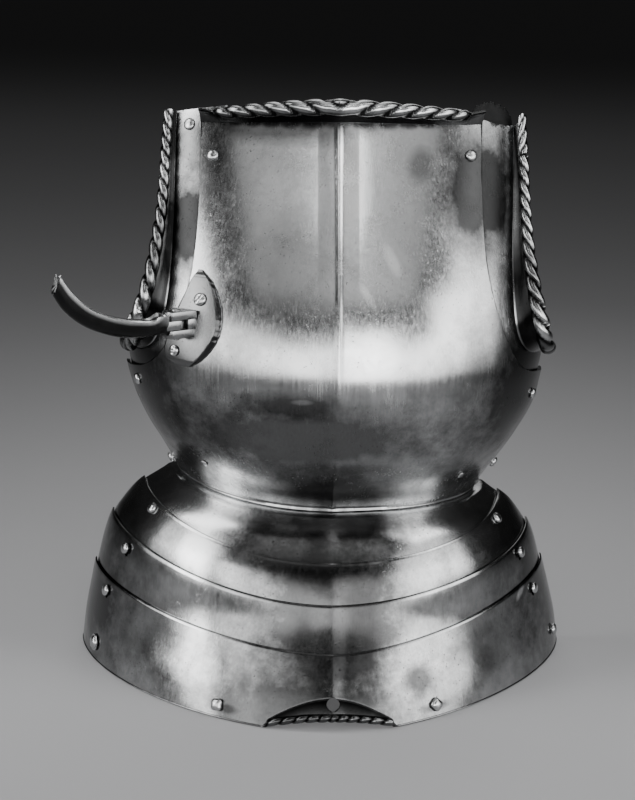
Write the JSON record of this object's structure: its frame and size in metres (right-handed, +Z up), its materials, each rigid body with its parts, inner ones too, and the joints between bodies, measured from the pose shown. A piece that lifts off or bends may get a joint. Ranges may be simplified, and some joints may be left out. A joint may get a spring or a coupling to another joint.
{
  "type": "steel breastplate with fauld and lance rest",
  "caption": "Steel breastplate of plate armour with a waist plate, overlapping skirt lames, roped borders and a folding lance rest.",
  "frame": {"origin": "centre of the bounding box on the ground, under the rim of the lowest lame", "axes": "+Z up, -Y to the wearer's front, -X to the wearer's right"},
  "size_m": [0.425, 0.2, 0.4828],
  "materials": {
    "bright_steel": "polished, pitted and stained with age",
    "dark_steel": "forged, worn and dark with age"
  },
  "bodies": {
    "trunk": {"breastplate": "bright_steel", "gusset_right": "bright_steel", "gusset_left": "bright_steel", "waist_plate": "bright_steel", "fauld_lame_1": "bright_steel", "strap_plate_left": "dark_steel", "lance_rest_bracket": "bright_steel", "lance_rest_pin": "dark_steel", "rivet_neck_right": "dark_steel", "rivet_neck_left": "dark_steel", "rivet_gusset_lower_right": "dark_steel", "rivet_gusset_lower_left": "dark_steel", "rivet_strap_right": "dark_steel", "rivet_waist_side_right": "dark_steel", "rivet_waist_side_left": "dark_steel", "rivet_waist_front_right": "dark_steel", "rivet_waist_front_left": "dark_steel", "rivet_lame_1_right": "dark_steel", "rivet_lame_1_left": "dark_steel", "rivet_lame_2_right": "dark_steel", "rivet_lame_2_left": "dark_steel", "lance_rest_screw_upper": "dark_steel", "lance_rest_screw_lower": "dark_steel"},
    "lame_2": {"fauld_lame_2": "bright_steel", "rivet_lame_3_right": "dark_steel", "rivet_lame_3_left": "dark_steel"},
    "lame_3": {"fauld_lame_3": "bright_steel", "rivet_rim_right": "dark_steel", "rivet_rim_left": "dark_steel", "stud_tasset_right": "dark_steel", "stud_tasset_left": "dark_steel"},
    "lance_arm": {"lance_rest_arm": "bright_steel"}
  },
  "joints": [
    {"name": "fauld_lame_2_slide", "type": "slide", "parent": "trunk", "child": "lame_2", "axis": [0, 0, 1], "range_m": [0, 0.004]},
    {"name": "fauld_lame_3_slide", "type": "slide", "parent": "lame_2", "child": "lame_3", "axis": [0, 0, 1], "range_m": [0, 0.004]},
    {"name": "lance_rest_fold", "type": "hinge", "parent": "trunk", "child": "lance_arm", "pos_m": [-0.1228, -0.02942, 0.31], "axis": [0, 0, 1], "range_deg": [0, 100]}
  ]
}
